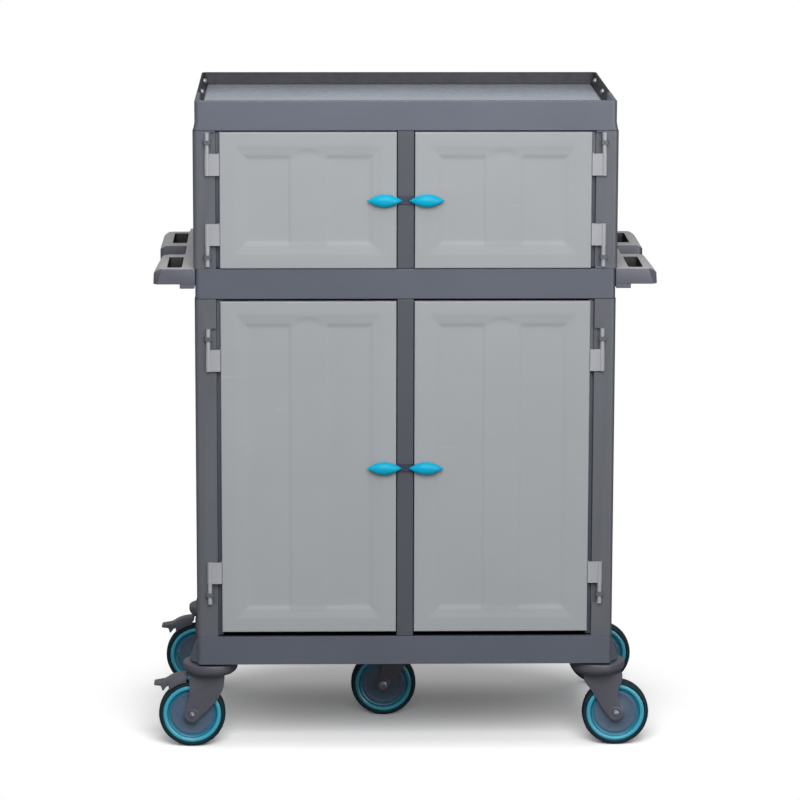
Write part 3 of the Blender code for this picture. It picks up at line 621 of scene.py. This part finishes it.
def make_gallery():
    """Rim round the tray, its screw heads and the returns at its front ends."""
    (x0, front, low), (half, back, high) = box("tray_gallery")
    # the rim's section: inset, height and corner radius
    stations = [(0.6, low, 9.5), (0, low + 0.6, 10), (0, high - 2.2, 10), (0.25, high - 1.0, 10),
                (0.9, high - 0.25, 10), (1.6, high, 10), (2.3, high - 0.2, 9.5),
                (RIM_LIP, high - 1.0, 9), (RIM_LIP + 0.6, high - 2.2, 9)]
    slope_top = stations[-1]
    for step in range(1, 6):
        along = step / 6
        stations.append((slope_top[0] + (RIM_FOOT - 2.0 - slope_top[0]) * along,
                         slope_top[1] + (low + 3.0 - slope_top[1]) * along, 9 - 3 * along))
    stations += [(RIM_FOOT - 1.8, low + 2.8, 6), (RIM_FOOT - 0.7, low + 1.4, 6),
                 (RIM_FOOT, low + 0.5, 6), (RIM_FOOT - 0.4, low, 6)]
    bm = bmesh.new()
    loops = [[bm.verts.new((x, y, z)) for x, y in rim_loop(half, back, front, inset, radius)]
             for inset, z, radius in stations]
    loops.append(loops[0])
    for one, other in zip(loops, loops[1:]):
        for j in range(len(one) - 1):
            bm.faces.new((one[j], one[j + 1], other[j + 1], other[j]))
    for end in (0, -1):
        bm.faces.new([loop[end] for loop in loops[:-1]])
    piece("rim_gallery", bm, DARK, CART, ("tray_gallery",))
    heads = []
    for side in (-1, 1):
        for y in SCREWS_Y:
            slot = bar((-3.4, -0.6, 5.0), (3.4, 0.6, 6.15), 0.1, 1)
            head = turned(together(lathe(SCREW_HEAD, 24), slot), SCREWS_TILT, "Y")
            head = moved(mirrored(head, -1), half - SCREWS_IN, y, SCREWS_Z)
            heads.append(mirrored(head, side))
    piece("gallery_screws", together(*heads), SCREW, CART)
    returns = []
    for side in (-1, 1):
        inner, outer = half - RETURN_WIDE, half + RETURN_PROUD_X
        plan = rounded([(inner, RETURN_FRONT, 0), (outer, RETURN_FRONT, 0), (outer, RETURN_REAR, 3),
                        (inner, RETURN_REAR, 4)])
        returns.append(mirrored(prism([plan], RETURN_LOW, high + RETURN_PROUD_Z, 1.2), side))
    piece("rim_returns", together(*returns), FASCIA, CART)


make_gallery()


# ---------------------------------------------------------------- end handles
GRIPS = ((-311.0, -95.0), (35.0, 262.0))
HOLES = ((-287.0, -135.0), (81.0, 234.0))
HOLE_IN, HOLE_OUT = 491.5, 524.0
FALL_WIDE, FALL_HIGH, FALL_BASE, FALL_POWER, FALL_STEPS = 17.5, 14.5, 4.0, 1.5, 9
RAIL_OUT, RAIL_REAR, STEP_HIGH, STEP_OUT, STEP_RAIL = 490.0, 311.0, 10.0, 496.0, 487.0
NOSE_IN, NOSE_PLANE = 15.0, Vector((1.0, -0.75, 0.32)).normalized()


def slice_off(bm, point, normal, soft):
    """Cut away what lies beyond a plane, close the cut and soften its edges."""
    cut = bmesh.ops.bisect_plane(bm, geom=bm.verts[:] + bm.edges[:] + bm.faces[:], dist=0.001,
                                 plane_co=point, plane_no=normal, clear_outer=True)
    rim = [item for item in cut["geom_cut"] if isinstance(item, bmesh.types.BMEdge)]
    bmesh.ops.contextual_create(bm, geom=rim)
    bmesh.ops.bevel(bm, geom=rim, offset=soft, segments=2, profile=0.5, affect="EDGES",
                    clamp_overlap=True)


def make_handle(hand, side):
    """Two grab loops on one rail, whose tops fall away towards the outside."""
    node = "handle_" + hand
    low, high = box(node)
    inner, outer = sorted((abs(low[0]), abs(high[0])))
    top, bottom = high[2], low[2] + STEP_HIGH
    (front0, front1), (rear0, rear1) = GRIPS
    plan = rounded([(inner, front0, 2), (outer, front0, 7), (outer - 16, front1, 24),
                    (RAIL_OUT, front1, 8), (RAIL_OUT, rear0, 8), (outer - 3.5, rear0, 12),
                    (outer - 6, rear1, 26), (RAIL_OUT, rear1, 8), (RAIL_OUT, RAIL_REAR, 2),
                    (inner, RAIL_REAR, 2)])
    holes = [rectangle(HOLE_IN, HOLE_OUT, start, end, 6.0) for start, end in HOLES]
    bm = prism([plan] + holes, bottom, top, 2.2, 3)
    for step in range(FALL_STEPS):
        x = outer - FALL_WIDE * (1 - math.sin(math.radians(90 * step / FALL_STEPS)) ** FALL_POWER)
        bmesh.ops.bisect_plane(bm, geom=bm.verts[:] + bm.edges[:] + bm.faces[:], plane_co=(x, 0, 0),
                               plane_no=(1, 0, 0), dist=0.001)
    for vert in bm.verts:
        reach = clamp((vert.co.x - outer + FALL_WIDE) / FALL_WIDE)
        drop = FALL_HIGH * (1 - (1 - reach ** (2 / FALL_POWER)) ** (FALL_POWER / 2))
        vert.co.z -= drop * clamp((vert.co.z - bottom - FALL_BASE) / (top - bottom - FALL_BASE))
    slice_off(bm, (outer - NOSE_IN, front0, (top + bottom) / 2), NOSE_PLANE, 1.6)
    # The upright walls of the holes take the second material, a painted shade.
    for face in bm.faces:
        at = face.calc_center_median()
        if abs(face.normal.z) < 0.3 and HOLE_IN - 1 < at.x < HOLE_OUT + 1 and any(
                start - 1 < at.y < end + 1 for start, end in HOLES):
            face.material_index = 1
    lip = HOLES[0][0] - 2
    ledge = [(inner + 1, front0 + 2), (STEP_OUT, front0 + 2), (STEP_OUT, lip), (STEP_RAIL, lip),
             (STEP_RAIL, RAIL_REAR - 2), (inner + 1, RAIL_REAR - 2)]
    base = prism([ledge], low[2], bottom + 6, 1.5, 2)
    both = mirrored(together(bm, base), side)
    piece("grab_" + node, both, HANDLE, CART, (node,), other=SHADED_WELL)


for hand, side in (("l", -1), ("r", 1)):
    make_handle(hand, side)


# ---------------------------------------------------------------- castors
FORK_HALF, FORK_INSIDE = 24.0, 19.5
TRAIL, HUB_Z, TIP_R = 41.6, 75.0, 17.0
COVER = ((0, 199.7), (14, 199.7), (14, 197.4), (14.4, 197), (58.2, 197), (59.9, 196.5),
         (61.0, 195.5), (61.5, 194), (61.5, 185.5), (61.1, 183), (60, 180), (58.2, 177.2),
         (55.4, 174.2), (51.5, 171.4), (46.5, 169.4), (39, 167.6), (30, 166), (20, 165), (0, 164.8))
TYRE_RING = ((65.8, -14.6), (66.6, -15.6), (68.6, -16.1), (70.6, -15.9), (72.4, -14.8),
             (73.7, -13.0), (74.5, -10.6), (74.9, -7.6), (75, -3.5), (75, 3.5), (74.9, 7.6),
             (74.5, 10.6), (73.7, 13.0), (72.4, 14.8), (70.6, 15.9), (68.6, 16.1), (66.6, 15.6),
             (65.8, 14.6))
BRIGHT_RING = ((65.5, -12.5), (65.3, -14.2), (64.4, -15.5), (62.9, -16.3), (61.0, -16.6), (59.2, -16.3),
               (57.4, -15.4), (56.2, -14.0), (55.6, -12.4))
DEEP_RING = ((55.5, -12.2), (54.8, -10.8), (53.2, -9.8), (51.2, -9.2), (49.0, -9.0), (47.4, -9.0))
DISC = ((5.3, -17.5), (12, -17.5), (13, -16.9), (13.4, -16), (13.6, -13.2), (15.2, -11.4),
        (18, -10.4), (22, -9.8), (28, -9.0), (36, -8.4), (41, -8.6), (44.6, -9.4), (46.2, -9.6),
        (47.1, -9.2))
WHEEL_STEPS = 96
AXLE_R, AXLE_HALF, NUT_R = 4.9, 23.9, 7.9
WASHER = ((0, 24.2), (9.2, 24.2), (9.4, 24.5), (9.4, 25.4), (9.0, 25.8), (0, 25.8))
AXLE_TIP = ((0, 30.0), (2.6, 29.9), (3.4, 29.4), (3.4, 25.8), (0, 25.8))
BOSS = ((9.8, 0), (14.5, 0), (15, 0.2), (15, 0.6), (14.2, 1.0), (10.4, 1.0), (9.8, 0.6))
BORE_R = 5.2
# Outlines of a fork's side, from its swivel axis towards the wheel: leading edge, trailing edge
BRAKED = (((-31, 168), (-31, 152), (-30, 141), (-25, 128), (-15, 110), (-4, 97.5), (10, 83)),
          ((56.5, 88), (52, 102), (48.5, 115), (47, 130), (47, 150), (47, 168)))
PLAIN = (((-31, 168), (-31, 158), (-29, 149), (-23, 141), (-8.5, 121), (1, 105.5), (11, 88)),
         ((56, 87), (51, 97), (47.5, 108), (46.5, 120), (49, 134), (54, 147), (55.5, 157), (55.5, 168)))
BRAKES = ("fl", "rl")
PEDAL = ((48.6, 168.5), (56, 168.2), (64, 167.4), (74, 165.6), (82, 163.2), (89, 160), (96, 155.6),
         (103, 151.8), (114, 149.8), (124, 148), (126.4, 147), (127, 145.4), (126.4, 143.4),
         (124.6, 142.5), (117, 141.9), (112, 141), (110.4, 138), (108.6, 131.6), (107, 130),
         (105.6, 130.4), (103.6, 133), (98.5, 139.6), (90, 141.9), (80, 146.6), (70, 150.6),
         (60, 152.1), (51, 158.5))
PEDAL_HALF, TREADS = 17.0, ((104, 151.2), (110, 150.2), (116, 149.1), (122, 148.0))
PEDAL_WALL_AT, PEDAL_WALL_HALF, PEDAL_WALL_R = 18.6, 1.4, 75.6


def two_sided(profile):
    """Closed ring profile from one side's points and their mirror image."""
    return list(profile) + [(r, -y) for r, y in reversed(profile)]


def sideways(bm, x, y, z):
    """Lay a turned body's axis along Y and move it."""
    return moved(turned(bm, 90, "X"), x, y, z)


def make_wheel(tag):
    """Tyre, bright ring, inner web and hub disc; returns the wheel's centre."""
    low, high = box("rim_" + tag)
    x, y, z = [(a + b) / 2 for a, b in zip(low, high)]
    body = "wheel_" + tag
    tyre = sideways(lathe(TYRE_RING, WHEEL_STEPS, True), x, y, z)
    piece("tyre_ring_" + tag, tyre, TYRE, body, ("tyre_" + tag,))
    ring = sideways(lathe(two_sided(BRIGHT_RING), WHEEL_STEPS, True), x, y, z)
    piece("wheel_ring_" + tag, ring, RIM, body, ("rim_" + tag,))
    # The inner web takes the darker turquoise, a painted shade.
    web = sideways(lathe(two_sided(DEEP_RING), WHEEL_STEPS, True), x, y, z)
    piece("wheel_web_" + tag, web, RIM_SHADED, body)
    disc = sideways(lathe(two_sided(DISC), WHEEL_STEPS, True), x, y, z)
    piece("wheel_disc_" + tag, disc, HUB, body)
    return x, y, z


def make_axle(tag, x, y, z):
    """Hexagon head and nut on washers, either side of the fork."""
    parts = [lathe(((0, -AXLE_HALF), (AXLE_R, -AXLE_HALF), (AXLE_R, AXLE_HALF), (0, AXLE_HALF)), 24)]
    for side in (-1, 1):
        nut = prism([circle(0, 0, NUT_R, 6)], 25.7, 29.4, 0.7, 2)
        end = together(lathe(WASHER, 36), nut, lathe(AXLE_TIP, 24))
        if side < 0:
            turned(end, 180, "X")
        parts.append(end)
    body = sideways(together(*parts), x, y, z)
    piece("axle_bolt_" + tag, body, BOLT, "fork_" + tag, ("axle_" + tag,), sharp=30.0)


def smooth_line(points, steps=6):
    """Catmull-Rom line through points."""
    out = []
    for index in range(len(points) - 1):
        before = points[max(0, index - 1)]
        one, two = points[index], points[index + 1]
        after = points[min(len(points) - 1, index + 2)]
        for step in range(steps):
            t = step / steps
            out.append(tuple(
                0.5 * (2 * one[k] + (two[k] - before[k]) * t
                       + (2 * before[k] - 5 * one[k] + 4 * two[k] - after[k]) * t * t
                       + (3 * one[k] - before[k] - 3 * two[k] + after[k]) * t ** 3) for k in (0, 1)))
    out.append(points[-1])
    return out


def make_fork(tag):
    """Two cheeks with bosses under a round cover; returns the swivel's place and the trail's side."""
    low, high = box("fork_" + tag)
    x, y = (low[0] + high[0]) / 2, (low[1] + high[1]) / 2
    wheel = box("axle_" + tag)
    trail = 1 if (wheel[0][0] + wheel[1][0]) / 2 > x else -1
    leading, trailing = [smooth_line(line) for line in (BRAKED if tag in BRAKES else PLAIN)]
    tip = [(TRAIL + TIP_R * math.cos(math.radians(angle)), HUB_Z + TIP_R * math.sin(math.radians(angle)))
           for angle in range(202, 371, 8)]
    plan = leading + tip + trailing
    hole = circle(TRAIL, HUB_Z, BORE_R, 24)
    cheek = upright(prism([plan, hole], FORK_INSIDE, FORK_HALF, 1.4, 3))
    other = moved(cheek.copy(), y=FORK_INSIDE + FORK_HALF)
    deep = FORK_HALF - 1.6
    head = prism([rectangle(-30, 46, -deep, deep, 3.0)], 157.0, 167.0, 1.0, 2)
    boss = []
    for face in (-1, 1):
        ring = sideways(lathe(BOSS, 40, True), TRAIL, 0, HUB_Z)
        moved(ring, y=face * FORK_HALF)
        if face > 0:
            bmesh.ops.scale(ring, vec=(1, -1, 1), verts=ring.verts,
                            space=Matrix.Translation((0, -FORK_HALF, 0)))
        boss.append(ring)
    legs = mirrored(together(cheek, other, head, *boss), trail)
    cover = lathe(COVER, 72)
    body = moved(together(legs, cover), x, y)
    piece("castor_fork_" + tag, body, FORK, "fork_" + tag, ("fork_" + tag,))
    return x, y, trail


def make_pedal(tag, x, y, trail):
    """Brake pedal with tread ridges; its side walls reach down past the tyre, clear of its width."""
    plate = upright(prism([list(PEDAL)], -PEDAL_HALF, PEDAL_HALF, 2.2, 3))
    ridges = []
    for at, z in TREADS:
        ridge = rounded([(at - 1.5, z - 1.5, 0), (at + 1.5, z - 1.9, 0), (at + 1.1, z + 1.0, 0.4),
                         (at - 1.1, z + 1.4, 0.4)], 2)
        ridges.append(upright(prism([ridge], 3 - PEDAL_HALF, PEDAL_HALF - 3, 0.4, 1)))
    arc = [(TRAIL + PEDAL_WALL_R * math.sin(math.radians(turn)),
            HUB_Z + PEDAL_WALL_R * math.cos(math.radians(turn))) for turn in range(10, 45, 3)]
    wall = [(52, 165), (66, 164.5), (82, 160.5), (95, 153), *reversed(arc)]
    walls = [upright(prism([wall], at - PEDAL_WALL_HALF, at + PEDAL_WALL_HALF, 0.6, 2))
             for at in (-PEDAL_WALL_AT, PEDAL_WALL_AT)]
    body = moved(mirrored(together(plate, *ridges, *walls), trail), x, y)
    piece("brake_pedal_" + tag, body, FORK, "pedal_" + tag, ("pedal_" + tag,))


for tag in ("fl", "fr", "rl", "rr", "mid"):
    centre = make_wheel(tag)
    make_axle(tag, *centre)
    x, y, trail = make_fork(tag)
    if tag in BRAKES:
        make_pedal(tag, x, y, trail)


# ---------------------------------------------------------------- ribs, stops and other small parts
TIERS = (("upper", 1112.0, 1386.0), ("lower", 282.0, 1014.0))
BACK_RIBS_X, SIDE_RIBS_Y = range(-360, 361, 80), (-190.0, -94.0, 2.0, 98.0, 194.0)
BACK_WALL, BACK_RIB_OUT, BACK_BAR_OUT, BACK_BAR_HALF = 302.0, 308.5, 307.0, (398, 9)
SIDE_WALL, SIDE_RIB_OUT, RIB_WIDE_BACK, RIB_WIDE_SIDE = 456.0, 462.2, 11, 10
STOP_LOW, STOP_HIGH = (404.0, -297.4, -14), (415.8, -290.0, 12)


def make_ribs():
    """Ribs on the back and the side walls, and the strips that the doors shut against."""
    for tier, low, high in TIERS:
        bars = [bar((at - RIB_WIDE_BACK, BACK_WALL, low), (at + RIB_WIDE_BACK, BACK_RIB_OUT, high), 2.0, 3)
                for at in BACK_RIBS_X]
        long, half = BACK_BAR_HALF
        middle = (low + high) / 2
        bars.append(bar((-long, BACK_WALL, middle - half), (long, BACK_BAR_OUT, middle + half), 1.8, 3))
        piece("back_ribs_" + tier, together(*bars), FRAME, CART)
        bars = []
        for side in (-1, 1):
            for at in SIDE_RIBS_Y:
                rib = bar((SIDE_WALL, at - RIB_WIDE_SIDE, low),
                          (SIDE_RIB_OUT, at + RIB_WIDE_SIDE, high), 1.6, 3)
                bars.append(mirrored(rib, side))
        piece("side_ribs_" + tier, together(*bars), FRAME, CART)
        stops = []
        for side in (-1, 1):
            stop = bar((*STOP_LOW[:2], low + STOP_LOW[2]), (*STOP_HIGH[:2], high + STOP_HIGH[2]), 0.8, 2)
            stops.append(mirrored(stop, side))
        piece("door_stops_" + tier, together(*stops), FRAME, CART)


make_ribs()


# ---------------------------------------------------------------- camera, floor and light
def aim(position, target):
    """Rotation of a lamp that shines from one point to another."""
    return (Vector(target) - Vector(position)).to_track_quat("-Z", "Y").to_matrix().to_4x4()


def area(name, position, target, size, power):
    """Soft rectangular lamp turned towards a point."""
    lamp = bpy.data.lights.new(name, "AREA")
    lamp.shape = "RECTANGLE"
    lamp.size, lamp.size_y = size
    lamp.energy = power
    obj = link(bpy.data.objects.new(name, lamp))
    obj.matrix_world = Matrix.Translation(position) @ aim(position, target)
    return obj


DOME, FLOOR_BOUNCE, FLOOR_SHOWN = 0.4, 0.25, 1.46
KEY_AT, KEY_SIZE, KEY_POWER = (0.15, -3.7, 2.95), (2.5, 2.4), 134.0
TOP_AT, TOP_SIZE, TOP_POWER = (0.0, -0.9, 4.2), (2.4, 2.4), 24.0
SHEEN_AT, SHEEN_SIZE, SHEEN_POWER = (2.3, -3.2, 1.3), (1.4, 2.4), 70.0
AIM, SHEEN_AIM = (0, 0, 0.7), (0.3, -0.3, 0.9)
# The floor is plain white beyond a soft oval round the cart
FADE_MOVE, FADE_SCALE, FADE_FROM, FADE_TO = (0.0, 0.28, 0.0), (1.27, 1.08, 1.0), 0.74, 1.14
# The camera as fitted to the photograph: lens and sensor in millimetres, place, and turns in radians
LENS, SENSOR = 172.67617, 36.0
CAMERA_AT = (-0.21126557, -8.63438106, 2.38942739)
YAW, PITCH, ROLL = 0.02396163, 0.18822033, 0.00216122

camera_data = bpy.data.cameras.new("camera")
camera_data.sensor_width = SENSOR
camera_data.lens = LENS
camera_data.clip_end = 100.0
camera = link(bpy.data.objects.new("camera", camera_data))
ahead = Vector((math.sin(YAW) * math.cos(PITCH), math.cos(YAW) * math.cos(PITCH), -math.sin(PITCH)))
level = Vector((math.cos(YAW), -math.sin(YAW), 0.0))
across = level * math.cos(ROLL) + level.cross(ahead) * math.sin(ROLL)
upward = across.cross(ahead)
camera.matrix_world = Matrix((
    (across.x, upward.x, -ahead.x, CAMERA_AT[0]), (across.y, upward.y, -ahead.y, CAMERA_AT[1]),
    (across.z, upward.z, -ahead.z, CAMERA_AT[2]), (0, 0, 0, 1)))
bpy.context.scene.camera = camera
bpy.context.scene.view_settings.view_transform = "Standard"

world = bpy.data.worlds.new("studio")
bpy.context.scene.world = world
world.use_nodes = True
world.node_tree.nodes["Background"].inputs["Color"].default_value = (1, 1, 1, 1)
world.node_tree.nodes["Background"].inputs["Strength"].default_value = DOME

floor_mesh = bpy.data.meshes.new("floor")
floor_bm = bmesh.new()
bmesh.ops.create_grid(floor_bm, x_segments=1, y_segments=1, size=30.0)
floor_bm.to_mesh(floor_mesh)
floor_bm.free()
floor = link(bpy.data.objects.new("floor", floor_mesh))


def floor_material():
    """White floor that keeps the cart's shadow and turns to plain white further out."""
    mat = bpy.data.materials.new("floor")
    mat.use_nodes = True
    tree = mat.node_tree
    tree.nodes.clear()
    made = {kind: tree.nodes.new("ShaderNode" + kind) for kind in
            ("OutputMaterial", "MixShader", "BsdfDiffuse", "Emission", "LightPath", "TexCoord", "Mapping",
             "VectorMath", "MapRange", "Math", "Mix")}
    made["Mix"].data_type = "RGBA"
    made["Mix"].inputs[6].default_value = (*[FLOOR_BOUNCE] * 3, 1.0)
    made["Mix"].inputs[7].default_value = (*[FLOOR_SHOWN] * 3, 1.0)
    tree.links.new(made["LightPath"].outputs["Is Camera Ray"], made["Mix"].inputs[0])
    tree.links.new(made["Mix"].outputs[2], made["BsdfDiffuse"].inputs["Color"])
    made["Mapping"].inputs["Location"].default_value = FADE_MOVE
    made["Mapping"].inputs["Scale"].default_value = FADE_SCALE
    made["VectorMath"].operation = "LENGTH"
    tree.links.new(made["TexCoord"].outputs["Object"], made["Mapping"].inputs["Vector"])
    tree.links.new(made["Mapping"].outputs["Vector"], made["VectorMath"].inputs[0])
    made["MapRange"].interpolation_type = "SMOOTHSTEP"
    made["MapRange"].inputs["From Min"].default_value = FADE_FROM
    made["MapRange"].inputs["From Max"].default_value = FADE_TO
    tree.links.new(made["VectorMath"].outputs["Value"], made["MapRange"].inputs["Value"])
    made["Math"].operation = "MULTIPLY"
    tree.links.new(made["MapRange"].outputs["Result"], made["Math"].inputs[0])
    tree.links.new(made["LightPath"].outputs["Is Camera Ray"], made["Math"].inputs[1])
    tree.links.new(made["Math"].outputs[0], made["MixShader"].inputs[0])
    tree.links.new(made["BsdfDiffuse"].outputs[0], made["MixShader"].inputs[1])
    tree.links.new(made["Emission"].outputs[0], made["MixShader"].inputs[2])
    tree.links.new(made["MixShader"].outputs[0], made["OutputMaterial"].inputs["Surface"])
    return mat


floor_mesh.materials.append(floor_material())
key = area("key", KEY_AT, AIM, KEY_SIZE, KEY_POWER)
overhead = area("overhead", TOP_AT, AIM, TOP_SIZE, TOP_POWER)
# Seen only in reflections, so that the satin plastics brighten gently towards the right
sheen = area("sheen", SHEEN_AT, SHEEN_AIM, SHEEN_SIZE, SHEEN_POWER)
sheen.visible_diffuse = False
